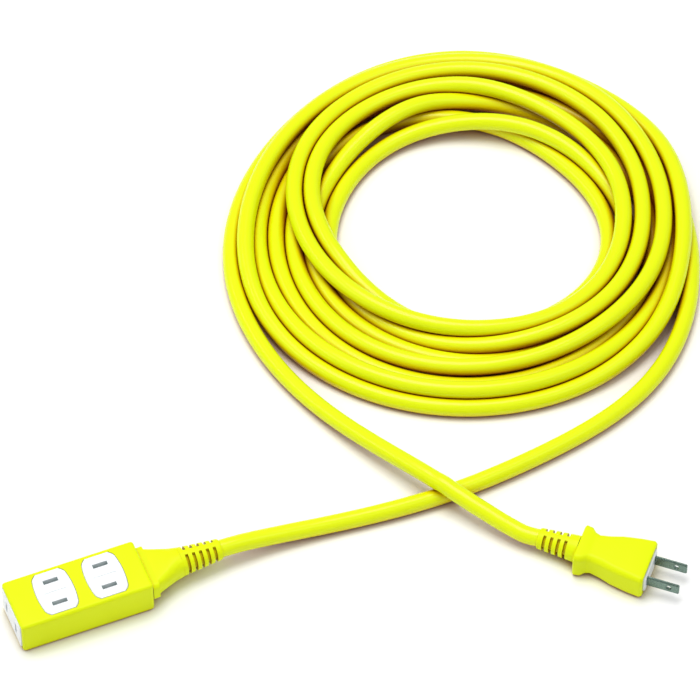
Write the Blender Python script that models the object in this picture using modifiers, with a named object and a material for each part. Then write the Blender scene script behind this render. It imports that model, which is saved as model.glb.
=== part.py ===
"""Extension cord: a three-outlet tap, a round two-core cord laid in a coil, and a two-blade plug.

Metres, +Z up. The origin is the middle of the tap's underside. +X runs along the tap
towards its cord, and the surface that everything lies on is Z = 0.
"""

import math

import bmesh
import bpy
from mathutils import Matrix, Vector

MM = 0.001
GAP = 0.3 * MM  # clearance between pieces that touch

# Cord: round PVC sheath over two 2 mm2 cores.
CORD_D = 8.6 * MM
CORD_R = CORD_D / 2
CORE_D = 2.8 * MM

# Tap housing.
TAP_L, TAP_W, TAP_H = 66.0 * MM, 29.0 * MM, 19.0 * MM
TAP_X0 = -32.7 * MM  # outlet end
TAP_X1 = TAP_X0 + TAP_L  # cord end
TAP_WALL = 1.5 * MM
END_FACE_PROUD = 0.6 * MM
POLE_Y = 6.35 * MM  # half of the 12.7 mm between blade centres
OUTLET_X = (-10.8 * MM, 14.0 * MM)
FACE_MID, FACE_END, FACE_HALF_W = 9.1 * MM, 7.5 * MM, 12.0 * MM  # barrel outline of an outlet face
SLOT_L, SLOT_W = 7.2 * MM, 2.2 * MM

# Cord guard of the tap.
GUARD_Z = 10.0 * MM
GUARD_FLANGE_X = TAP_X1 + GAP
GUARD_NECK_X = GUARD_FLANGE_X + 3.2 * MM
GUARD_RING_X = 51.5 * MM
GUARD_TIP_X = 72.2 * MM
GUARD_R0, GUARD_R1 = 7.1 * MM, 5.2 * MM

# Plug, in its own frame: origin on the surface under the middle of its face, +X out of the face.
PLUG_AT = (256.4 * MM, -86.5 * MM)
PLUG_TURN = math.radians(-42.0)
PLUG_Z = 7.5 * MM
PLUG_BACK = -35.0 * MM
PLUG_TIP = -55.4 * MM
BLADE_OUT = 16.8 * MM
BLADE_W, BLADE_T = 6.3 * MM, 1.5 * MM
BLADE_HOLE_D, BLADE_HOLE_X = 3.0 * MM, 11.7 * MM

# Coil: the space that the wound turns fill.
COIL_AT = (257.5 * MM, 140.4 * MM)
COIL_IN, COIL_OUT, COIL_H = 67.0 * MM, 109.3 * MM, 20.0 * MM

# Cord routes, as the points that the cord passes through on the surface, in millimetres.
TAP_LEAD = (
    (72.5, 0.0, 10.0), (85.0, 0.0, 9.1), (97.0, -0.1, 6.8), (110.0, -0.7, 4.9),
    (124.0, -2.0, 4.3), (142.0, -4.2, 4.3), (161.0, -6.3, 4.3), (182.0, -7.1, 4.3),
    (200.0, -6.4, 4.3), (220.0, -4.0, 4.3), (242.0, -0.6, 4.3), (262.0, 2.8, 4.3),
    (282.0, 7.8, 4.3), (300.0, 15.6, 4.3), (316.5, 26.8, 4.3), (331.0, 41.0, 4.3),
    (343.7, 58.0, 4.3), (352.6, 75.0, 4.3),
)
PLUG_LEAD = (
    (159.0, 202.2, 4.3), (150.6, 187.4, 4.3), (144.3, 171.0, 4.3), (139.0, 149.1, 4.3),
    (136.2, 128.5, 4.3), (137.2, 107.4, 4.3), (141.9, 85.8, 4.4), (149.0, 65.0, 4.9),
    (157.6, 45.4, 6.6), (167.6, 24.6, 9.8), (176.0, 7.4, 12.7), (184.6, -8.0, 13.4),
    (193.2, -20.2, 12.0), (201.6, -32.4, 9.3),
)


# ---------------------------------------------------------------- scene and helpers

for old in list(bpy.data.objects):
    bpy.data.objects.remove(old, do_unlink=True)

PARTS = bpy.data.collections.new("extension_cord")
CUTTERS = bpy.data.collections.new("cutters")
for made in (PARTS, CUTTERS):
    bpy.context.scene.collection.children.link(made)


def material(name, colour, roughness, metallic=0.0):
    mat = bpy.data.materials.new(name)
    mat.use_nodes = True
    shader = mat.node_tree.nodes["Principled BSDF"]
    shader.inputs["Base Color"].default_value = (*colour, 1.0)
    shader.inputs["Roughness"].default_value = roughness
    shader.inputs["Metallic"].default_value = metallic
    return mat


YELLOW = (0.80, 0.86, 0.01)
WHITE = (0.88, 0.88, 0.90)
NICKEL = (0.46, 0.49, 0.48)
BRASS = (0.72, 0.52, 0.22)


def keep(obj, name, mat=None):
    """Names the object, puts it with the parts and gives it a material of its own."""
    obj.name = name
    obj.data.name = name
    for home in list(obj.users_collection):
        home.objects.unlink(obj)
    if mat is None:
        CUTTERS.objects.link(obj)
        obj.hide_render = True
        obj.display_type = "WIRE"
    else:
        PARTS.objects.link(obj)
        obj.data.materials.clear()
        obj.data.materials.append(material(name, *mat))
    return obj


def mesh_object(bm, name, mat=None):
    bmesh.ops.recalc_face_normals(bm, faces=bm.faces)
    data = bpy.data.meshes.new(name)
    bm.to_mesh(data)
    bm.free()
    return keep(bpy.data.objects.new(name, data), name, mat)


def block(name, lo, hi, mat=None, bevel=0.0, segments=2):
    """A box between two corners, with its edges rounded by a Bevel."""
    bpy.ops.mesh.primitive_cube_add(size=1.0)
    obj = bpy.context.active_object
    size = Vector(hi) - Vector(lo)
    obj.data.transform(Matrix.Translation((Vector(hi) + Vector(lo)) / 2) @ Matrix.Diagonal((*size, 1)))
    keep(obj, name, mat)
    if bevel:
        round_edges(obj, bevel, segments)
    return obj


def round_edges(obj, width, segments=2, angle=30):
    mod = obj.modifiers.new("rounded edges", "BEVEL")
    mod.width = width
    mod.segments = segments
    mod.limit_method = "ANGLE"
    mod.angle_limit = math.radians(angle)


def rod(name, radius, start, end, sides=16, mat=None):
    """A cylinder from one point to another."""
    start, end = Vector(start), Vector(end)
    bpy.ops.mesh.primitive_cylinder_add(vertices=sides, radius=radius, depth=(end - start).length)
    obj = bpy.context.active_object
    turn = (end - start).to_track_quat("Z", "Y").to_matrix().to_4x4()
    obj.data.transform(Matrix.Translation((start + end) / 2) @ turn)
    return keep(obj, name, mat)


def cut(obj, *tools, operation="DIFFERENCE"):
    for tool in tools:
        mod = obj.modifiers.new(tool.name, "BOOLEAN")
        mod.operation = operation
        mod.solver = "EXACT"
        mod.object = tool


def spline_through(points, step):
    """Points on the smooth curve through the given ones, evenly spaced along it."""
    pts = [Vector(p) * MM for p in points]
    ext = [pts[0] * 2 - pts[1]] + pts + [pts[-1] * 2 - pts[-2]]
    fine = []
    for i in range(1, len(ext) - 2):
        p0, p1, p2, p3 = ext[i - 1 : i + 3]
        t0, t1 = 0.0, (p1 - p0).length ** 0.5
        t2 = t1 + (p2 - p1).length ** 0.5
        t3 = t2 + (p3 - p2).length ** 0.5
        for k in range(24):
            t = t1 + (t2 - t1) * k / 24
            a1 = p0 * ((t1 - t) / (t1 - t0)) + p1 * ((t - t0) / (t1 - t0))
            a2 = p1 * ((t2 - t) / (t2 - t1)) + p2 * ((t - t1) / (t2 - t1))
            a3 = p2 * ((t3 - t) / (t3 - t2)) + p3 * ((t - t2) / (t3 - t2))
            b1 = a1 * ((t2 - t) / (t2 - t0)) + a2 * ((t - t0) / (t2 - t0))
            b2 = a2 * ((t3 - t) / (t3 - t1)) + a3 * ((t - t1) / (t3 - t1))
            fine.append(b1 * ((t2 - t) / (t2 - t1)) + b2 * ((t - t1) / (t2 - t1)))
    fine.append(pts[-1])
    run = [0.0]
    for a, b in zip(fine, fine[1:]):
        run.append(run[-1] + (b - a).length)
    count = max(2, round(run[-1] / step))
    out, j = [], 0
    for k in range(count + 1):
        want = run[-1] * k / count
        while j < len(run) - 2 and run[j + 1] < want:
            j += 1
        f = (want - run[j]) / (run[j + 1] - run[j])
        out.append(fine[j].lerp(fine[j + 1], min(1.0, f)))
    return out


def on_surface(points):
    """The points, with none so low that the cord would sink into the surface."""
    return [Vector((p.x, p.y, max(p.z, CORD_R + 0.02 * MM))) for p in points]


def tube(name, points, radius, mat, resolution=2):
    """A closed tube along points, as a poly curve with filled caps."""
    data = bpy.data.curves.new(name, "CURVE")
    data.dimensions = "3D"
    line = data.splines.new("POLY")
    line.points.add(len(points) - 1)
    for point, co in zip(line.points, points):
        point.co = (*co, 1.0)
    data.bevel_depth = radius
    data.bevel_resolution = resolution
    data.use_fill_caps = True
    return keep(bpy.data.objects.new(name, data), name, mat)


def turned(name, profile, axis, mat=None, steps=24):
    """A solid of revolution. The profile is (radius, height) pairs that run down the outer side."""
    data = bpy.data.meshes.new(name)
    bm = bmesh.new()
    ring = [bm.verts.new((r, 0.0, h)) for r, h in profile]
    for a, b in zip(ring, ring[1:]):
        bm.edges.new((a, b))
    bm.to_mesh(data)
    bm.free()
    obj = keep(bpy.data.objects.new(name, data), name, mat)
    obj.matrix_world = axis
    mod = obj.modifiers.new("turn", "SCREW")
    mod.steps = mod.render_steps = steps
    mod.use_merge_vertices = True
    mod.merge_threshold = 0.00005
    mod.use_smooth_shade = True
    return obj


ALONG_X = Matrix.Rotation(math.radians(90), 4, "Y")  # turns a profile's height onto +X
PLUG_FRAME = Matrix.Translation((*PLUG_AT, 0.0)) @ Matrix.Rotation(PLUG_TURN, 4, "Z")


def barrel_outline(mid, end, half_w, z0, z1, at_x, name, mat=None):
    """A flat plate whose two long sides bulge, as an extruded 2D curve made into a mesh."""
    corner = 1.6 * MM
    right = [(mid - (mid - end) * (i / 4) ** 2, half_w * i / 4) for i in range(-4, 5)]
    right = [(x, max(-half_w + corner, min(half_w - corner, y))) for x, y in right]
    outline = right + [(end - corner, half_w)] + [(-end + corner, half_w)]
    outline += [(-x, -y) for x, y in right] + [(-end + corner, -half_w), (end - corner, -half_w)]
    data = bpy.data.curves.new(name, "CURVE")
    data.dimensions = "2D"
    data.fill_mode = "BOTH"
    data.extrude = (z1 - z0) / 2
    line = data.splines.new("POLY")
    line.use_cyclic_u = True
    line.points.add(len(outline) - 1)
    for point, (x, y) in zip(line.points, outline):
        point.co = (x, y, 0.0, 1.0)
    guide = bpy.data.objects.new(name, data)
    bpy.context.scene.collection.objects.link(guide)
    guide.location = (at_x, 0.0, (z0 + z1) / 2)
    return solid_from_curve(guide, name, mat)


def solid_from_curve(guide, name, mat=None):
    """The mesh of a curve with its caps joined on, in place of the curve."""
    bpy.context.view_layer.update()
    graph = bpy.context.evaluated_depsgraph_get()
    data = bpy.data.meshes.new_from_object(guide.evaluated_get(graph))
    data.transform(guide.matrix_world)
    bpy.data.objects.remove(guide, do_unlink=True)
    bm = bmesh.new()
    bm.from_mesh(data)
    bmesh.ops.remove_doubles(bm, verts=bm.verts, dist=1e-6)
    bpy.data.meshes.remove(data)
    return mesh_object(bm, name, mat)


def stationed_block(name, stations, mat=None, frame=None):
    """A box bisected at stations along X, whose sections are then set to
    (x, half width, lowest z, highest z, corner chamfer) and joined in one smooth run of faces."""
    bm = bmesh.new()
    bmesh.ops.create_cube(bm, size=1.0)
    for v in bm.verts:
        v.co = Vector((stations[0][0] if v.co.x < 0 else stations[-1][0], v.co.y, v.co.z))
    for x, *_ in stations[1:-1]:
        bmesh.ops.bisect_plane(bm, geom=bm.verts[:] + bm.edges[:] + bm.faces[:], plane_co=(x, 0, 0), plane_no=(1, 0, 0))
    lines = [e for e in bm.edges if abs(e.verts[0].co.x - e.verts[1].co.x) > 1e-7]
    bmesh.ops.bevel(bm, geom=lines, offset=0.2, offset_type="OFFSET", segments=3, profile=0.5, affect="EDGES")
    for v in bm.verts:
        x, half, low, high, round_ = min(stations, key=lambda s: abs(s[0] - v.co.x))
        # The bevelled unit section maps onto the station's section, its corner radius kept at round_.
        out = []
        for c, size in ((v.co.y, half), (v.co.z, (high - low) / 2)):
            a = abs(c)
            inside = a <= 0.3 + 1e-6
            part = (size - round_) if inside else (size - round_) + round_ * (a - 0.3) / 0.2
            out.append(math.copysign(part if a > 1e-9 else 0.0, c))
        v.co = Vector((x, out[0], out[1] + (high + low) / 2))
    obj = mesh_object(bm, name, mat)
    if frame is not None:
        obj.matrix_world = frame
    return obj


# ---------------------------------------------------------------- tap housing

housing = block(
    "tap_housing", (TAP_X0, -TAP_W / 2, 0), (TAP_X1, TAP_W / 2, TAP_H),
    (YELLOW, 0.38), bevel=1.6 * MM, segments=3,
)
IN_Y = TAP_W / 2 - TAP_WALL
cavity = block(
    "cut_housing_room", (TAP_X0 - 2 * MM, -IN_Y, 1.6 * MM),
    (TAP_X1 - 1.8 * MM, IN_Y, TAP_H - 1.6 * MM), bevel=0.6 * MM, segments=1,
)
windows = [
    barrel_outline(FACE_MID + GAP, FACE_END + GAP, FACE_HALF_W + GAP, TAP_H - 4 * MM, TAP_H + 2 * MM, x, f"cut_window_{i}")
    for i, x in enumerate(OUTLET_X, 1)
]
cord_hole = rod("cut_cord_hole", 5.3 * MM, (TAP_X1 - 6 * MM, 0, GUARD_Z), (TAP_X1 + 2 * MM, 0, GUARD_Z), 20)
cut(housing, cavity, *windows, cord_hole)

# ---------------------------------------------------------------- outlet faces


def slot_cutter(name, centre, size):
    half = Vector(size) / 2
    return block(name, Vector(centre) - half, Vector(centre) + half)


for number, x in enumerate(OUTLET_X, 1):
    face = barrel_outline(
        FACE_MID, FACE_END, FACE_HALF_W, 13.3 * MM, TAP_H + 0.25 * MM, x,
        f"outlet_face_{number}", (WHITE, 0.35),
    )
    round_edges(face, 0.35 * MM, 1, 50)
    slots = []
    for pole, y in (("near", -POLE_Y), ("far", POLE_Y)):
        slots.append(slot_cutter(f"cut_slot_{number}_{pole}", (x, y, 16 * MM), (SLOT_L, SLOT_W, 12 * MM)))
    # A shallow line parts the two slots.
    slots.append(slot_cutter(f"cut_line_{number}", (x, 0, TAP_H + 0.25 * MM), (11 * MM, 0.5 * MM, 0.5 * MM)))
    cut(face, *slots)

end_face = block(
    "outlet_face_end", (TAP_X0 - END_FACE_PROUD, -IN_Y + 0.35 * MM, 1.95 * MM),
    (TAP_X0 + 2.6 * MM, IN_Y - 0.35 * MM, TAP_H - 1.95 * MM), (WHITE, 0.35), bevel=0.8 * MM, segments=2,
)
cut(
    end_face,
    *(
        slot_cutter(f"cut_end_slot_{pole}", (TAP_X0, y, TAP_H / 2), (12 * MM, SLOT_W, SLOT_L))
        for pole, y in (("near", -POLE_Y), ("far", POLE_Y))
    ),
)

# ---------------------------------------------------------------- contact carrier, busbars, contacts

CARRIER_X0, CARRIER_X1 = TAP_X0 + 3.0 * MM, 25.2 * MM
carrier = block(
    "contact_carrier", (CARRIER_X0, -IN_Y + 0.4 * MM, 1.95 * MM),
    (CARRIER_X1, IN_Y - 0.4 * MM, 12.9 * MM), (WHITE, 0.5), bevel=0.7 * MM, segments=1,
)
FLOOR_Z = 3.4 * MM
cut(
    carrier,
    *(
        block(f"cut_channel_{pole}", (CARRIER_X0 - 2 * MM, y - 3.1 * MM, FLOOR_Z), (CARRIER_X1 + 2 * MM, y + 3.1 * MM, 16 * MM))
        for pole, y in (("near", -POLE_Y), ("far", POLE_Y))
    ),
)


def contact_clip(name, at, upright):
    """A U of spring strip: two leaves that lean together, then flare to lead the blade in."""
    half, reach = 1.25 * MM, 7.6 * MM
    profile = [(-1.55, 7.6), (-0.95, 6.0), (-1.25, 3.0), (-1.25, 0.9), (-0.75, 0.25)]
    profile = [(a * MM, b * MM) for a, b in profile]
    profile += [(-a, b) for a, b in reversed(profile)]
    bm = bmesh.new()
    length = 7.0 * MM
    rows = []
    for side in (-0.5, 0.5):
        rows.append([bm.verts.new((side * length, y, h) if upright else (-h, y, side * length)) for y, h in profile])
    for i in range(len(profile) - 1):
        bm.faces.new((rows[0][i], rows[0][i + 1], rows[1][i + 1], rows[1][i]))
    obj = mesh_object(bm, name, (BRASS, 0.3, 1.0))
    obj.matrix_world = Matrix.Translation(at)
    mod = obj.modifiers.new("strip", "SOLIDIFY")
    mod.thickness = 0.45 * MM
    mod.offset = 0.0
    mod.use_even_offset = True
    return obj


for pole, side in (("near", -1), ("far", 1)):
    y = side * POLE_Y
    block(
        f"busbar_{pole}", (-28.0 * MM, y - 2.2 * MM, FLOOR_Z + GAP), (19.6 * MM, y + 2.2 * MM, FLOOR_Z + GAP + 0.8 * MM),
        (BRASS, 0.3, 1.0), bevel=0.15 * MM, segments=1,
    )
    for number, x in enumerate(OUTLET_X, 1):
        contact_clip(f"contact_{number}_{pole}", (x, y, FLOOR_Z + GAP + 0.8 * MM + 0.35 * MM), True)
    contact_clip(f"contact_end_{pole}", (-20.6 * MM, y, TAP_H / 2), False)
    crimp = rod(f"tap_crimp_{pole}", 1.7 * MM, (20.0 * MM, y, 5.6 * MM), (23.8 * MM, y, 5.6 * MM), 12, (NICKEL, 0.35, 1.0))
    cut(crimp, rod(f"cut_tap_crimp_{pole}", 1.05 * MM, (19 * MM, y, 5.6 * MM), (25.4 * MM, y, 5.6 * MM), 12))
    route = ((30.4, side * 1.9, 10.0), (29.4, side * 2.0, 9.9), (27.9, side * 4.0, 8.2), (26.5, side * 5.6, 6.5), (25.2, side * 6.3, 5.7), (24.1, side * 6.35, 5.6))
    shade = (0.02, 0.02, 0.02) if side < 0 else (0.85, 0.85, 0.85)
    tube(f"tap_core_{pole}", spline_through(route, 1.2 * MM), CORE_D / 2 - 0.1 * MM, (shade, 0.5))

# ---------------------------------------------------------------- cord guards


def guard_slots(name, frame, start, pitch, count, radius_at, z):
    """Cutters for the slots on both sides of a cord guard, which leave a spine above and below."""
    tools = []
    for i in range(count):
        x = start + pitch * i
        r = radius_at(x)
        for side in (-1, 1):
            bpy.ops.mesh.primitive_cylinder_add(vertices=20, radius=r + 3 * MM, depth=1.5 * MM)
            ring = bpy.context.active_object
            ring.data.transform(Matrix.Translation((x, 0, z)) @ ALONG_X)
            keep(ring, f"cut_{name}_{i}_{'near' if side < 0 else 'far'}")
            half = Vector((3 * MM, 9 * MM, 12 * MM))
            mid = Vector((x, side * (9 * MM + 1.35 * MM), z))
            core = rod(f"cut_{name}_core_{i}_{side}", r - 1.7 * MM, (x - 3 * MM, 0, z), (x + 3 * MM, 0, z), 16)
            limit = block(f"cut_{name}_half_{i}_{side}", mid - half, mid + half)
            cut(ring, limit, operation="INTERSECT")
            cut(ring, core)
            for helper in (ring, core, limit):
                helper.matrix_world = frame
            tools.append(ring)
    return tools


def guard_ring_profile(x0, x1, r0, r1, z, frame, name, mat=None):
    """The tapered round end of a cord guard, with a rounded rim at its tip."""
    rim = 1.1 * MM
    profile = [(0.0, x1), (r1 - rim, x1), (r1 - 0.3 * rim, x1 - 0.3 * rim), (r1, x1 - rim), (r0, x0), (0.0, x0)]
    return turned(name, profile, frame @ Matrix.Translation((0, 0, z)) @ ALONG_X, mat)


def guard_radius(x):
    f = (x - GUARD_RING_X) / (GUARD_TIP_X - GUARD_RING_X)
    return GUARD_R0 + (GUARD_R1 - GUARD_R0) * f


flange_end = GUARD_NECK_X
guard = stationed_block(
    "tap_cord_guard",
    (
        (GUARD_FLANGE_X, 13.0 * MM, 4.6 * MM, 15.4 * MM, 2.4 * MM),
        (flange_end, 13.0 * MM, 4.6 * MM, 15.4 * MM, 2.4 * MM),
        (flange_end + 0.05 * MM, 11.6 * MM, 4.9 * MM, 15.1 * MM, 2.8 * MM),
        (GUARD_RING_X - 9.0 * MM, 9.6 * MM, 4.3 * MM, 15.7 * MM, 4.2 * MM),
        (GUARD_RING_X - 4.0 * MM, 7.7 * MM, 3.4 * MM, 16.6 * MM, 5.3 * MM),
        (GUARD_RING_X + 1.0 * MM, 6.7 * MM, 3.3 * MM, 16.7 * MM, 5.9 * MM),
    ),
    (YELLOW, 0.38),
)
relief = guard_ring_profile(GUARD_RING_X, GUARD_TIP_X, GUARD_R0, GUARD_R1, GUARD_Z, Matrix.Identity(4), "cut_guard_relief")
stem = rod("cut_guard_stem", 5.0 * MM, (30.9 * MM, 0, GUARD_Z), (GUARD_FLANGE_X + 1 * MM, 0, GUARD_Z), 20)
cut(guard, relief, stem, operation="UNION")
cut(guard, *guard_slots("guard", Matrix.Identity(4), 54.4 * MM, 3.5 * MM, 5, guard_radius, GUARD_Z))


def plug_guard_radius(x):
    f = (PLUG_BACK - x) / (PLUG_BACK - PLUG_TIP)
    return 6.7 * MM + (5.2 * MM - 6.7 * MM) * f


plug_guard = turned(
    "plug_cord_guard",
    [
        (0.0, -31.6 * MM), (4.6 * MM, -31.6 * MM), (4.6 * MM, PLUG_BACK - GAP), (6.7 * MM, PLUG_BACK - GAP),
        (5.2 * MM, PLUG_TIP + 1.1 * MM), (4.87 * MM, PLUG_TIP + 0.33 * MM), (4.1 * MM, PLUG_TIP), (0.0, PLUG_TIP),
    ],
    PLUG_FRAME @ Matrix.Translation((0, 0, PLUG_Z)) @ ALONG_X, (YELLOW, 0.38),
)
cut(plug_guard, *guard_slots("plug_guard", PLUG_FRAME, -51.6 * MM, 3.5 * MM, 4, plug_guard_radius, PLUG_Z))

# ---------------------------------------------------------------- plug

plug = stationed_block(
    "plug_body",
    (
        (PLUG_BACK, 10.4 * MM, 0.6 * MM, 14.4 * MM, 2.2 * MM),
        (PLUG_BACK + 0.6 * MM, 11.0 * MM, 0.0 * MM, 15.0 * MM, 2.6 * MM),
        (PLUG_BACK + 3.6 * MM, 10.6 * MM, 0.0 * MM, 15.0 * MM, 2.8 * MM),
        (PLUG_BACK + 5.6 * MM, 8.9 * MM, 0.4 * MM, 14.6 * MM, 3.2 * MM),
        (-27.0 * MM, 8.3 * MM, 0.7 * MM, 14.3 * MM, 3.4 * MM),
        (-22.0 * MM, 9.2 * MM, 0.4 * MM, 14.6 * MM, 3.4 * MM),
        (-16.0 * MM, 10.9 * MM, 0.1 * MM, 14.9 * MM, 3.2 * MM),
        (-8.0 * MM, 12.3 * MM, 0.0 * MM, 15.0 * MM, 3.0 * MM),
        (-1.2 * MM, 13.0 * MM, 0.0 * MM, 15.0 * MM, 2.8 * MM),
        (0.0 * MM, 12.2 * MM, 0.8 * MM, 14.2 * MM, 2.2 * MM),
    ),
    (YELLOW, 0.38), PLUG_FRAME,
)
INS_Y, INS_Z = 9.9 * MM, 4.6 * MM  # half sizes of the blade holder
rooms = [
    block(f"cut_plug_room_{i}", (x0 * MM, -hw * MM, PLUG_Z - hh * MM), (x1 * MM, hw * MM, PLUG_Z + hh * MM))
    for i, (x0, x1, hw, hh) in enumerate(((-12.3, 3.0, 10.2, 4.9), (-20.5, -8.0, 8.6, 3.6), (-24.5, -20.0, 7.6, 3.2), (-32.6, -24.0, 6.0, 2.8)))
]
hole = rod("cut_plug_cord_hole", 4.9 * MM, (-37 * MM, 0, PLUG_Z), (-31 * MM, 0, PLUG_Z), 20)
for tool in (*rooms, hole):
    tool.matrix_world = PLUG_FRAME
cut(plug, *rooms, hole)

holder = block(
    "blade_holder", (-12.0 * MM, -INS_Y, PLUG_Z - INS_Z), (1.0 * MM, INS_Y, PLUG_Z + INS_Z),
    (WHITE, 0.4), bevel=0.6 * MM, segments=1,
)
holder.matrix_world = PLUG_FRAME
for pole, side in (("near", -1), ("far", 1)):
    y = side * POLE_Y
    seat = block(
        f"cut_blade_seat_{pole}", (-18 * MM, y - BLADE_T / 2 - GAP, PLUG_Z - BLADE_W / 2 - GAP),
        (3 * MM, y + BLADE_T / 2 + GAP, PLUG_Z + BLADE_W / 2 + GAP),
    )
    seat.matrix_world = PLUG_FRAME
    cut(holder, seat)

    blade = block(
        f"plug_blade_{pole}", (-14.2 * MM, y - BLADE_T / 2, PLUG_Z - BLADE_W / 2),
        (BLADE_OUT, y + BLADE_T / 2, PLUG_Z + BLADE_W / 2), (NICKEL, 0.25, 1.0), bevel=0.5 * MM, segments=1,
    )
    blade.matrix_world = PLUG_FRAME
    eye = rod(f"cut_blade_hole_{pole}", BLADE_HOLE_D / 2, (BLADE_HOLE_X, y - 3 * MM, PLUG_Z), (BLADE_HOLE_X, y + 3 * MM, PLUG_Z), 16)
    eye.matrix_world = PLUG_FRAME
    cut(blade, eye)

    crimp = rod(f"plug_crimp_{pole}", 1.7 * MM, (-18.8 * MM, y, PLUG_Z), (-14.6 * MM, y, PLUG_Z), 12, (NICKEL, 0.35, 1.0))
    bore = rod(f"cut_plug_crimp_{pole}", 1.05 * MM, (-19.8 * MM, y, PLUG_Z), (-13.6 * MM, y, PLUG_Z), 12)
    crimp.matrix_world = bore.matrix_world = PLUG_FRAME
    cut(crimp, bore)

    route = ((-31.0, side * 1.8, 7.5), (-29.6, side * 1.9, 7.5), (-27.2, side * 3.1, 7.5), (-24.8, side * 4.5, 7.5), (-22.4, side * 5.8, 7.5), (-20.6, side * 6.3, 7.5), (-19.1, side * 6.35, 7.5))
    shade = (0.02, 0.02, 0.02) if side < 0 else (0.85, 0.85, 0.85)
    core = tube(f"plug_core_{pole}", spline_through(route, 1.4 * MM), 1.15 * MM, (shade, 0.5))
    core.matrix_world = PLUG_FRAME

# ---------------------------------------------------------------- cord

tube("cord_tap_lead", on_surface(spline_through(TAP_LEAD, 9.5 * MM)), CORD_R, (YELLOW, 0.3), 2)
plug_axis = [PLUG_FRAME @ Vector((x, 0, PLUG_Z)) / MM for x in (PLUG_TIP - 8 * MM, PLUG_TIP - GAP)]
tube("cord_plug_lead", on_surface(spline_through(PLUG_LEAD + tuple(plug_axis), 9.5 * MM)), CORD_R, (YELLOW, 0.3), 2)

edge = 5.0 * MM
corner = [(math.sin(a), math.cos(a)) for a in (0.0, math.pi / 6, math.pi / 3, math.pi / 2)]
outer_top = [(COIL_OUT - edge + edge * s, COIL_H - edge + edge * c) for s, c in corner]
outer_low = [(COIL_OUT - edge + edge * c, edge - edge * s) for s, c in corner]
inner_low = [(COIL_IN + edge - edge * s, edge - edge * c) for s, c in corner]
inner_top = [(COIL_IN + edge - edge * c, COIL_H - edge + edge * s) for s, c in corner]
turned(
    "cord_coil", outer_top + outer_low + inner_low + inner_top + outer_top[:1],
    Matrix.Translation((*COIL_AT, 0.0)), (YELLOW, 0.3), 56,
)

for obj in PARTS.objects:
    if obj.type == "MESH":
        obj.data.shade_smooth()
        obj.data.set_sharp_from_angle(angle=math.radians(35))
bpy.context.view_layer.update()
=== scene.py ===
"""Looks of the extension cord: the full-length cord wound in its coil, and finished
pieces around the fixed frame. Lengths are in metres unless a name ends in _MM."""

import math

import bmesh
import bpy
import numpy as np
from mathutils import Matrix, Vector


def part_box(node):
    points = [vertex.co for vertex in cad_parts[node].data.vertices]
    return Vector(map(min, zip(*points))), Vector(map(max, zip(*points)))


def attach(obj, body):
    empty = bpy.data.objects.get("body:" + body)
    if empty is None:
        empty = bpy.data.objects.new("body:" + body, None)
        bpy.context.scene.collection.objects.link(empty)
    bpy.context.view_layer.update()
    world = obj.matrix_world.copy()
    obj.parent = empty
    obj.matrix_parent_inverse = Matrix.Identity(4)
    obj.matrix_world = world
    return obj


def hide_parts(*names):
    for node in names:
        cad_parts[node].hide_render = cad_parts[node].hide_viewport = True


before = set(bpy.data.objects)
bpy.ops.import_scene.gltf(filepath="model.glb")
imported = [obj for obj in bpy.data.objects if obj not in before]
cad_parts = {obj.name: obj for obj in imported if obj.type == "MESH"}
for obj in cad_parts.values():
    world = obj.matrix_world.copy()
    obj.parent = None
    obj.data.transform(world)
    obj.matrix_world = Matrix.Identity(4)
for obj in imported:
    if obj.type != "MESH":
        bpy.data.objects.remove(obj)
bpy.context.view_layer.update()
MM = 0.001
SCENE = bpy.context.scene

# ---------------------------------------------------------------- dimensions shared with the frame

CORD_D = 8.6
CORD_R = CORD_D / 2
REST_Z = CORD_R + 0.02
TAP_X0, TAP_X1 = -32.7, 33.3
TAP_HALF_W, TAP_H = 14.5, 19.0
POLE_Y = 6.35
OUTLET_X = (-10.8, 14.0)
PLUG_AT, PLUG_TURN, PLUG_Z = (256.4, -86.5), math.radians(-42.0), 7.5
PLUG_BACK, PLUG_TIP = -35.0, -55.4
COIL_C = np.array([256.5, 141.0])

TAP_LEAD = (
    (72.5, 0.0, 10.0), (85.0, 0.0, 9.1), (97.0, -0.1, 6.8), (110.0, -0.7, 4.9),
    (124.0, -2.0, 4.3), (142.0, -4.2, 4.3), (161.0, -6.3, 4.3), (182.0, -7.1, 4.3),
    (200.0, -6.4, 4.3), (220.0, -4.0, 4.3), (242.0, -0.6, 4.3), (262.0, 2.8, 4.3),
    (282.0, 7.8, 4.3), (300.0, 15.6, 4.3), (316.5, 26.8, 4.3), (331.0, 41.0, 4.3),
    (343.7, 58.0, 4.3), (352.6, 75.0, 4.3),
)
PLUG_LEAD = (
    (159.0, 202.2, 4.3), (150.6, 187.4, 4.3), (144.3, 171.0, 4.3), (139.0, 149.1, 4.3),
    (136.2, 128.5, 4.3), (137.2, 107.4, 4.3), (141.9, 85.8, 4.4), (149.0, 65.0, 4.9),
    (157.6, 45.4, 6.6), (167.6, 24.6, 9.8), (176.0, 7.4, 12.7), (184.6, -8.0, 13.4),
    (193.2, -20.2, 12.0), (201.6, -32.4, 9.3),
)

# ---------------------------------------------------------------- camera and stage

CAM_AT = Vector((-0.3880, -1.2904, 1.8756))
LOOK_AT = Vector((0.1777, 0.0959, 0.0))
cam_data = bpy.data.cameras.new("camera")
cam = bpy.data.objects.new("camera", cam_data)
SCENE.collection.objects.link(cam)
cam.location = CAM_AT
cam.rotation_euler = (LOOK_AT - CAM_AT).to_track_quat("-Z", "Y").to_euler()
cam_data.sensor_width = 36.0
cam_data.sensor_fit = "HORIZONTAL"
cam_data.lens = 4872.0 * 36.0 / 700.0
cam_data.clip_start = 0.05
cam_data.clip_end = 50.0
cam_data.dof.use_dof = False
SCENE.camera = cam

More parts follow.
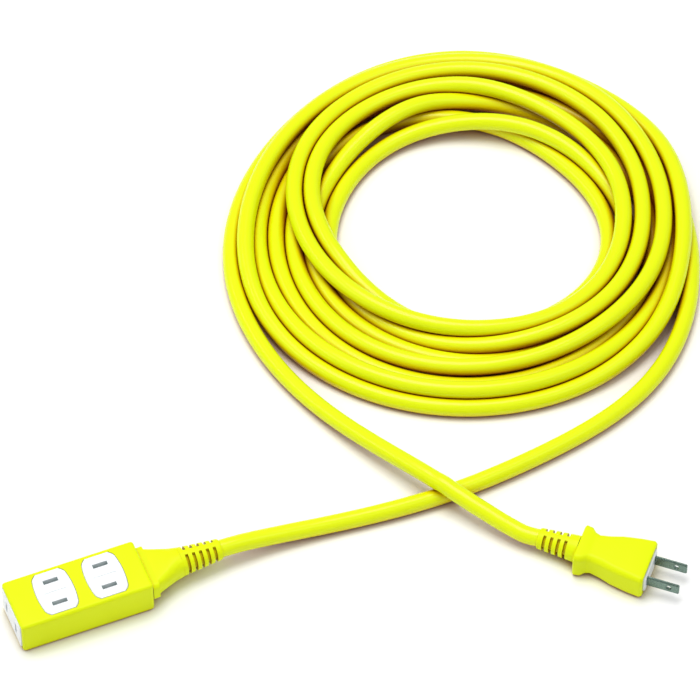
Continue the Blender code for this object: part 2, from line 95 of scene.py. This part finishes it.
SCENE.view_settings.view_transform = "Standard"
SCENE.view_settings.look = "None"

# ---------------------------------------------------------------- the cord's route

# Each pass of the cord round the coil, as angle:radius,height. Angles run counter-clockwise from
# the direction of the viewer's right hand.
# the tap's lead comes in on the surface, passes under the upper turns and surfaces on the near side
P1 = """4.3:111.9,4.3 11.3:111.4,4.3 21:110.6,4.3 45:108,4.3 60:106,4.3 75:104.8,4.3 90:104,4.3 105:103.4,4.3
120:102.5,4.3 150:102.5,4.3 180:103,4.8 195:104,6 210:105,8 225:105.2,9.5 240:105,11 255:104.6,12
270:104.6,12.3 286:104.6,12.5 300:105.6,12 315:106,9 330:106.6,5.2 345:106.4,4.5"""
# a turn buried in the middle of the stack
HIDDEN = """0:105,4.4 15:103.2,4.3 30:101.5,4.3 45:99.5,4.3 60:97.8,4.3 75:96.3,4.3 90:95.4,4.3 120:94.8,4.3
150:94.3,4.3 180:94.6,4.3 210:97,4.3 240:98,4.3 270:98.6,4.3 300:99.2,4.3 330:98.8,4.3 345:98.2,4.3"""
P2 = """0:97.3,4.3 30:93.5,4.3 60:89.6,4.3 80:88,5 95:86.5,6.5 105:82,9.5 115:76.5,11.5 125:73,11 135:72.5,9
150:73.5,7.5 165:74.5,6 180:75.5,5 195:77.5,4.6 210:80.5,4.6 225:80,5.5 240:78.8,7 257:81,5.5 265:82.5,4.8
275:83.5,4.3 300:84.5,4.3 330:85.3,4.3"""
P3 = """0:85.5,4.3 15:84,4.5 30:81.7,6 45:75.2,9 60:67.7,11.5 75:67.7,8 90:70.5,4.3 120:69.2,4.3 150:65,4.3
180:66.6,4.3 210:70.5,4.3 240:72.5,4.3 255:73.5,4.5 270:75.5,6.5 285:81,9.5 300:83.7,11.5 330:87.2,12"""
P4 = """0:90,12 30:96.4,12 60:101.4,12.5 90:105.5,13.5 120:100.4,13 150:94.3,12.5 165:88,12.5 180:83.8,12.5
195:76.7,12.4 210:72.1,12.3 240:67.8,12 270:67,12 285:69,12 300:73,12 315:75.3,12 330:77,12"""
P5 = """0:79.9,12 30:82.1,12 60:86,12 90:86.3,13 109:91,12.5 120:90,12 135:88.5,12 150:84.8,12.3 165:78.5,12
180:73.3,12 195:67.5,11.5 210:63.8,10 225:63.5,7 240:64,4.5 270:66,4.3 300:69,4.3 330:74,4.3"""
P6 = """0:76.3,4.3 15:73.5,4.3 30:69.5,4.3 45:69,4.3 60:70.8,4.3 75:76,4.3 90:79,4.3 110:83.5,4.3 120:85,4.3
150:85.6,4.3 180:86,4.3 195:88,6 210:90.5,8 225:91,10 240:90.2,11.5 270:90.2,12 286:88,11 300:93,11.5
315:96,12 330:98.5,12 345:100,12"""
P7 = """0:101,12 30:106.5,12.3 60:111.5,12 90:112,11.5 120:108.5,12 150:104,11.5 165:103.5,11.5 180:104.5,10.5
195:107,7.5 210:109.2,5 225:110.8,4.3 240:112.8,4.3 270:113.4,4.3 300:115,4.3 315:112.6,6.5 330:109.4,10 345:109.5,12"""
# over the edge of the stack to the outside, where it leaves for the plug
P8 = """0:111.5,12.5 15:113.5,10.5 30:115.5,7.5 45:117,5.5 60:118.5,4.5 90:119.5,4.3 120:116,4.3 135:113,4.3
150:111.6,4.3 160:112.5,4.3"""

FIRST_ANGLE = 22.2  # from the angles above to those of the frame


def coil_point(angle, radius, height):
    a = math.radians(angle - FIRST_ANGLE)
    return (COIL_C[0] + radius * math.cos(a), COIL_C[1] + radius * math.sin(a), max(height, REST_Z))


def spline(points, step):
    """Centripetal Catmull-Rom through the points, evenly spaced along its length."""
    p = np.asarray(points, float)
    ext = np.vstack([2 * p[0] - p[1], p, 2 * p[-1] - p[-2]])
    fine = []
    for i in range(1, len(ext) - 2):
        p0, p1, p2, p3 = ext[i - 1 : i + 3]
        t0, t1 = 0.0, np.linalg.norm(p1 - p0) ** 0.5
        t2 = t1 + np.linalg.norm(p2 - p1) ** 0.5
        t3 = t2 + np.linalg.norm(p3 - p2) ** 0.5
        t = (t1 + (t2 - t1) * np.arange(24) / 24)[:, None]
        a1 = p0 * ((t1 - t) / (t1 - t0)) + p1 * ((t - t0) / (t1 - t0))
        a2 = p1 * ((t2 - t) / (t2 - t1)) + p2 * ((t - t1) / (t2 - t1))
        a3 = p2 * ((t3 - t) / (t3 - t2)) + p3 * ((t - t2) / (t3 - t2))
        b1 = a1 * ((t2 - t) / (t2 - t0)) + a2 * ((t - t0) / (t2 - t0))
        b2 = a2 * ((t3 - t) / (t3 - t1)) + a3 * ((t - t1) / (t3 - t1))
        fine.append(b1 * ((t2 - t) / (t2 - t1)) + b2 * ((t - t1) / (t2 - t1)))
    fine = np.vstack(fine + [p[-1:]])
    run = np.r_[0.0, np.cumsum(np.linalg.norm(np.diff(fine, axis=0), axis=1))]
    want = np.linspace(0.0, run[-1], max(2, round(run[-1] / step)) + 1)
    return np.stack([np.interp(want, run, fine[:, k]) for k in range(3)], 1)


def plug_point(x, y, z):
    c, s = math.cos(PLUG_TURN), math.sin(PLUG_TURN)
    return (PLUG_AT[0] + c * x - s * y, PLUG_AT[1] + s * x + c * y, z)


def route_points():
    pts = [(71.0, 0.0, 10.0)] + list(TAP_LEAD)  # starts just inside the tap's guard
    pts += [coil_point(-12.3, 116.8, REST_Z), coil_point(-5.0, 114.3, REST_Z)]
    for turn in (P1, HIDDEN, P2, P3, P4, P5, P6, P7, P8):
        for item in turn.split():
            angle, place = item.split(":")
            r, z = place.split(",")
            pts.append(coil_point(float(angle), float(r), float(z)))
    pts += list(PLUG_LEAD)
    pts += [plug_point(PLUG_TIP - 8.0, 0, PLUG_Z), plug_point(PLUG_TIP + 1.2, 0, PLUG_Z)]
    return pts


def near_pairs(p, reach, apart):
    """Pairs of points closer than reach and further than apart along the cord."""
    cell = np.floor(p / reach).astype(int)
    keys = {}
    for i, c in enumerate(map(tuple, cell)):
        keys.setdefault(c, []).append(i)
    a, b = [], []
    for c, members in keys.items():
        around = []
        for dx in (-1, 0, 1):
            for dy in (-1, 0, 1):
                for dz in (-1, 0, 1):
                    around += keys.get((c[0] + dx, c[1] + dy, c[2] + dz), ())
        m, n = np.array(members), np.array(around)
        i, j = np.meshgrid(m, n, indexing="ij")
        ok = (j - i) > apart
        i, j = i[ok], j[ok]
        near = np.linalg.norm(p[i] - p[j], axis=1) < reach
        a.append(i[near])
        b.append(j[near])
    return np.concatenate(a), np.concatenate(b)


def settle(p, free, ease, rounds=420):
    """Pushes turns apart to a diameter, keeps them on the surface and lets them sink together,
    while each stays close to its own route and bends smoothly. The last rounds only ease the
    bends, the two leads' too, up to where they enter their guards."""
    step = np.linalg.norm(np.diff(p, axis=0), axis=1).mean()
    apart = int(3.0 * CORD_D / step)
    home = p.copy()
    need = CORD_D + 0.06
    for n in range(rounds):
        late = n / rounds
        if late >= 0.9:
            free = ease
        if n % 6 == 0:
            i, j = near_pairs(p, need * 1.45, apart)
        # towards its own route, less and less, and down
        pull = 0.05 * (1 - late) ** 2 + (0.012 if late < 0.9 else 0.0)
        move = (home - p) * pull
        move[:, 2] -= 0.04 * (1 - 0.6 * late) if late < 0.9 else 0.004
        p = p + move * free[:, None]
        # even bending
        bend = np.zeros_like(p)
        bend[2:-2] = (-p[:-4] + 4 * p[1:-3] - 6 * p[2:-2] + 4 * p[3:-1] - p[4:]) / 16
        p = p + bend * (0.9 * free[:, None])
        for span, stiff in ((3, 0.9), (6, 0.9)):
            far = np.zeros_like(p)
            far[2 * span : -2 * span] = (
                -p[: -4 * span] + 4 * p[span : -3 * span] - 6 * p[2 * span : -2 * span]
                + 4 * p[3 * span : -span] - p[4 * span :]
            ) / 16
            p = p + far * ((stiff if late < 0.9 else 0.45) * free[:, None])
        for _ in range(4 if late < 0.9 else 8):
            d = p[i] - p[j]
            size = np.linalg.norm(d, axis=1)
            lack = need - size
            # neighbours that nearly touch draw together, until the last rounds
            lack = np.where(lack > 0, lack, lack * (0.009 if late < 0.9 else 0.0))
            hit = size > 0
            ii, jj, d, size, lack = i[hit], j[hit], d[hit], size[hit], lack[hit]
            push = d / size[:, None] * (lack * 0.5)[:, None]
            total, count = np.zeros_like(p), np.zeros(len(p))
            np.add.at(total, ii, push)
            np.add.at(total, jj, -push)
            np.add.at(count, ii, 1)
            np.add.at(count, jj, 1)
            p = p + total / np.maximum(1, count * 0.55)[:, None] * free[:, None]
            p[:, 2] = np.where(free > 0, np.maximum(p[:, 2], REST_Z), p[:, 2])
    return p


STEP = 3.0
route = spline(route_points(), STEP)
route[:, 2] = np.maximum(route[:, 2], REST_Z)
along = np.r_[0.0, np.cumsum(np.linalg.norm(np.diff(route, axis=0), axis=1))]
lead_a = np.linalg.norm(np.diff(spline(TAP_LEAD, STEP), axis=0), axis=1).sum()
tail = spline(list(PLUG_LEAD) + [plug_point(PLUG_TIP - 8.0, 0, PLUG_Z), plug_point(PLUG_TIP - 0.3, 0, PLUG_Z)], STEP)
lead_b = along[-1] - np.linalg.norm(np.diff(tail, axis=0), axis=1).sum()
free = np.clip((along - (lead_a - 20)) / 45, 0, 1) * np.clip(((lead_b + 20) - along) / 45, 0, 1)
ease = np.clip((along - 8) / 25, 0, 1) * np.clip((along[-1] - 8 - along) / 25, 0, 1)
route = settle(route, free, ease)
# closer together for a smooth tube
route = spline(route, 2.2)
route[:, 2] = np.maximum(route[:, 2], REST_Z)

cord_data = bpy.data.curves.new("cord", "CURVE")
cord_data.dimensions = "3D"
line = cord_data.splines.new("POLY")
line.points.add(len(route) - 1)
for point, co in zip(line.points, route):
    point.co = (*(co * MM), 1.0)
cord_data.bevel_depth = CORD_R * MM
cord_data.bevel_resolution = 8
cord_data.use_fill_caps = True
cord = bpy.data.objects.new("cord", cord_data)
SCENE.collection.objects.link(cord)
line.use_smooth = True

# ---------------------------------------------------------------- materials


def shader_of(name):
    mat = bpy.data.materials.new(name)
    mat.use_nodes = True
    tree = mat.node_tree
    return mat, tree, tree.nodes["Principled BSDF"]


def plastic(name, dark, light, roughness, scale, bump, coat=0.0, subsurface=0.0, ior=1.5, gloss=0.5):
    """Moulded or extruded plastic: slightly uneven colour and gloss, and a fine surface ripple."""
    mat, tree, sh = shader_of(name)
    nodes, links = tree.nodes, tree.links
    coords = nodes.new("ShaderNodeTexCoord")
    cloud = nodes.new("ShaderNodeTexNoise")
    cloud.inputs["Scale"].default_value = scale
    cloud.inputs["Detail"].default_value = 3.0
    ramp = nodes.new("ShaderNodeValToRGB")
    ramp.color_ramp.elements[0].position = 0.3
    ramp.color_ramp.elements[1].position = 0.7
    ramp.color_ramp.elements[0].color = (*dark, 1.0)
    ramp.color_ramp.elements[1].color = (*light, 1.0)
    links.new(coords.outputs["Object"], cloud.inputs["Vector"])
    links.new(cloud.outputs["Fac"], ramp.inputs["Fac"])
    links.new(ramp.outputs["Color"], sh.inputs["Base Color"])
    rough = nodes.new("ShaderNodeMapRange")
    rough.inputs["To Min"].default_value = roughness - 0.04
    rough.inputs["To Max"].default_value = roughness + 0.05
    smear = nodes.new("ShaderNodeTexNoise")
    smear.inputs["Scale"].default_value = scale * 3.1
    smear.inputs["Detail"].default_value = 4.0
    links.new(coords.outputs["Object"], smear.inputs["Vector"])
    links.new(smear.outputs["Fac"], rough.inputs["Value"])
    links.new(rough.outputs["Result"], sh.inputs["Roughness"])
    grain = nodes.new("ShaderNodeTexNoise")
    grain.inputs["Scale"].default_value = 900.0
    grain.inputs["Detail"].default_value = 2.0
    links.new(coords.outputs["Object"], grain.inputs["Vector"])
    relief = nodes.new("ShaderNodeBump")
    relief.inputs["Strength"].default_value = bump
    relief.inputs["Distance"].default_value = 0.0002
    links.new(grain.outputs["Fac"], relief.inputs["Height"])
    links.new(relief.outputs["Normal"], sh.inputs["Normal"])
    sh.inputs["IOR"].default_value = ior
    sh.inputs["Specular IOR Level"].default_value = gloss
    sh.inputs["Coat Weight"].default_value = coat
    sh.inputs["Coat Roughness"].default_value = 0.12
    sh.inputs["Subsurface Weight"].default_value = subsurface
    sh.inputs["Subsurface Radius"].default_value = (1.0, 0.9, 0.15)
    sh.inputs["Subsurface Scale"].default_value = 0.002
    return mat


def paint_crevice_shade(mat, reach, deep, middle):
    """Painted shade: an occlusion test darkens and warms the base colour where a surface is hemmed in, standing in for
    shadow and for light bounced between dyed walls.
    """
    tree = mat.node_tree
    nodes, links = tree.nodes, tree.links
    sh = nodes["Principled BSDF"]
    source = sh.inputs["Base Color"].links[0].from_socket
    occlusion = nodes.new("ShaderNodeAmbientOcclusion")
    occlusion.inputs["Distance"].default_value = reach
    occlusion.samples = 12
    ramp = nodes.new("ShaderNodeValToRGB")
    el = ramp.color_ramp.elements
    # deep and middle are the painted crevice shade: the darkest colour in the deepest gaps, the middle one as
    # half-shade further out
    el[0].position, el[0].color = 0.12, (*deep, 1)
    el[1].position, el[1].color = 0.84, (1, 1, 1, 1)
    mid = el.new(0.48)
    mid.color = (*middle, 1)
    mix = nodes.new("ShaderNodeMix")
    mix.data_type = "RGBA"
    mix.blend_type = "MULTIPLY"
    mix.inputs["Factor"].default_value = 1.0
    links.new(occlusion.outputs["AO"], ramp.inputs["Fac"])
    links.new(source, mix.inputs["A"])
    links.new(ramp.outputs["Color"], mix.inputs["B"])
    links.new(mix.outputs["Result"], sh.inputs["Base Color"])
    return mat


# cord sheath with painted shade between the strands: maroon in the deepest gaps, orange on the lower flanks
CORD_MAT = paint_crevice_shade(
    plastic("cord_sheath", (0.745, 0.86, 0.001), (0.775, 0.90, 0.002), 0.24, 14.0, 0.10, gloss=0.26),
    0.014, (0.40, 0.06, 0.05), (1.0, 0.70, 0.3))
# moulded yellow plastic with painted orange-brown shade in its slots, joints and recesses
YELLOW_MAT = paint_crevice_shade(
    plastic("yellow_plastic", (0.735, 0.85, 0.002), (0.765, 0.885, 0.003), 0.38, 30.0, 0.16, gloss=0.12),
    0.004, (0.36, 0.12, 0.02), (1.0, 0.70, 0.2))
# white inserts with painted grey-cyan shade in the slots and in the gaps round them
WHITE_MAT = paint_crevice_shade(
    plastic("white_plastic", (0.82, 0.85, 0.87), (0.87, 0.90, 0.91), 0.30, 60.0, 0.08),
    0.003, (0.66, 0.78, 0.76), (0.88, 0.92, 0.91))
BLADE_MAT, _tree, _sh = shader_of("blade_metal")
_sh.inputs["Metallic"].default_value = 1.0
_coords = _tree.nodes.new("ShaderNodeTexCoord")
_stretch = _tree.nodes.new("ShaderNodeMapping")
_stretch.inputs["Rotation"].default_value = (0, 0, PLUG_TURN)
_stretch.inputs["Scale"].default_value = (60, 2200, 900)
_drawn = _tree.nodes.new("ShaderNodeTexNoise")
_drawn.inputs["Scale"].default_value = 1.0
_tint = _tree.nodes.new("ShaderNodeValToRGB")
_tint.color_ramp.elements[0].color = (0.11, 0.17, 0.14, 1)
_tint.color_ramp.elements[1].color = (0.25, 0.35, 0.30, 1)
_gloss = _tree.nodes.new("ShaderNodeMapRange")
_gloss.inputs["To Min"].default_value = 0.20
_gloss.inputs["To Max"].default_value = 0.34
_tree.links.new(_coords.outputs["Object"], _stretch.inputs["Vector"])
_tree.links.new(_stretch.outputs["Vector"], _drawn.inputs["Vector"])
_tree.links.new(_drawn.outputs["Fac"], _tint.inputs["Fac"])
_tree.links.new(_tint.outputs["Color"], _sh.inputs["Base Color"])
_tree.links.new(_drawn.outputs["Fac"], _gloss.inputs["Value"])
_tree.links.new(_gloss.outputs["Result"], _sh.inputs["Roughness"])
BRASS_MAT = plastic("contact_brass", (0.60, 0.42, 0.16), (0.70, 0.50, 0.20), 0.28, 200.0, 0.05)
BRASS_MAT.node_tree.nodes["Principled BSDF"].inputs["Metallic"].default_value = 1.0
TIN_MAT = plastic("crimp_metal", (0.55, 0.56, 0.56), (0.66, 0.67, 0.67), 0.32, 200.0, 0.05)
TIN_MAT.node_tree.nodes["Principled BSDF"].inputs["Metallic"].default_value = 1.0
CARRIER_MAT = plastic("carrier_plastic", (0.10, 0.10, 0.11), (0.13, 0.13, 0.14), 0.5, 80.0, 0.1)
BLACK_MAT = plastic("core_black", (0.015, 0.015, 0.016), (0.025, 0.025, 0.027), 0.4, 80.0, 0.05)
CORE_WHITE_MAT = plastic("core_white", (0.80, 0.80, 0.79), (0.86, 0.86, 0.85), 0.4, 80.0, 0.05)
cord_data.materials.append(CORD_MAT)

# ---------------------------------------------------------------- finely finished pieces

FINE = {}


def finish_piece(node, mat, radius, angle=38.0, grow=0.0):
    """The node's own shape with its moulded edges broken by a small radius and its curves smooth."""
    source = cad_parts[node]
    mesh = source.data.copy()
    mesh.materials.clear()
    mesh.materials.append(mat)
    obj = bpy.data.objects.new(node + "_fine", mesh)
    SCENE.collection.objects.link(obj)
    obj.matrix_world = source.matrix_world.copy()
    bm = bmesh.new()
    bm.from_mesh(mesh)
    if grow:  # a closer fit in its opening
        low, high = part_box(node)
        mid = (Vector(low) + Vector(high)) / 2
        wide = Vector(high) - Vector(low)
        fit = Matrix.Diagonal((1 + 2 * grow * MM / wide.x, 1 + 2 * grow * MM / wide.y, 1.0, 1.0))
        bm.transform(Matrix.Translation(mid) @ fit @ Matrix.Translation(-mid))
    bmesh.ops.remove_doubles(bm, verts=bm.verts, dist=1e-6)
    bmesh.ops.dissolve_limit(
        bm, angle_limit=math.radians(0.6), verts=bm.verts, edges=bm.edges, delimit={"NORMAL"})
    bm.to_mesh(mesh)
    bm.free()
    if radius:
        bevel = obj.modifiers.new("broken edges", "BEVEL")
        bevel.width = radius * MM
        bevel.segments = 3
        bevel.limit_method = "ANGLE"
        bevel.angle_limit = math.radians(angle)
        bevel.harden_normals = False
    mesh.shade_smooth()
    mesh.set_sharp_from_angle(angle=math.radians(angle))
    weigh = obj.modifiers.new("even shading", "WEIGHTED_NORMAL")
    weigh.keep_sharp = True
    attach(obj, "root")
    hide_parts(node)
    FINE[node] = obj
    return obj


finish_piece("tap_housing", YELLOW_MAT, 0.22)
finish_piece("tap_cord_guard", YELLOW_MAT, 0.2)
finish_piece("plug_cord_guard", YELLOW_MAT, 0.2)
finish_piece("plug_body", YELLOW_MAT, 0.25)
for _n in ("outlet_face_1", "outlet_face_2"):
    finish_piece(_n, WHITE_MAT, 0.1, grow=0.18)
finish_piece("outlet_face_end", WHITE_MAT, 0.12)
finish_piece("blade_holder", WHITE_MAT, 0.25)
for _n in ("plug_blade_near", "plug_blade_far"):
    finish_piece(_n, BLADE_MAT, 0.15)

for node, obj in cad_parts.items():
    if node in FINE or node.startswith("cord_"):
        continue
    if "core_near" in node:
        mat = BLACK_MAT
    elif "core_far" in node:
        mat = CORE_WHITE_MAT
    elif "crimp" in node:
        mat = TIN_MAT
    elif "carrier" in node:
        mat = CARRIER_MAT
    else:
        mat = BRASS_MAT
    obj.data.materials.clear()
    obj.data.materials.append(mat)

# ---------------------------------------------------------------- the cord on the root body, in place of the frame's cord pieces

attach(cord, "root")
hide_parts("cord_tap_lead", "cord_coil", "cord_plug_lead")

# ---------------------------------------------------------------- floor and light

bpy.ops.mesh.primitive_plane_add(size=8.0, location=(0.2, 0.1, 0.0))
floor = bpy.context.active_object
floor.name = "floor"
# the white floor carries a painted brown contact shadow and bounce light close to the cord and in the gaps between
# strands
floor_mat = paint_crevice_shade(
    plastic("floor", (0.945, 0.945, 0.945), (0.955, 0.955, 0.955), 0.88, 6.0, 0.0, gloss=0.1),
    0.012, (0.42, 0.20, 0.03), (0.99, 0.95, 0.84))
floor.data.materials.append(floor_mat)

world = bpy.data.worlds.new("studio")
SCENE.world = world
world.use_nodes = True
world.node_tree.nodes["Background"].inputs["Color"].default_value = (1, 1, 1, 1)
world.node_tree.nodes["Background"].inputs["Strength"].default_value = 0.52


def softbox(name, at, target, size, power):
    data = bpy.data.lights.new(name, "AREA")
    data.shape = "RECTANGLE"
    data.size, data.size_y = size
    data.energy = power
    obj = bpy.data.objects.new(name, data)
    SCENE.collection.objects.link(obj)
    obj.location = at
    obj.rotation_euler = (Vector(target) - Vector(at)).to_track_quat("-Z", "Y").to_euler()


softbox("key", (0.05, 0.45, 2.1), (0.2, 0.1, 0.0), (1.4, 1.0), 28.5)
softbox("strip", (-0.9, 0.75, 1.15), (0.22, 0.12, 0.0), (1.5, 0.07), 4.5)
softbox("fill", (0.9, -0.7, 1.6), (0.2, 0.1, 0.0), (0.9, 0.6), 3.0)
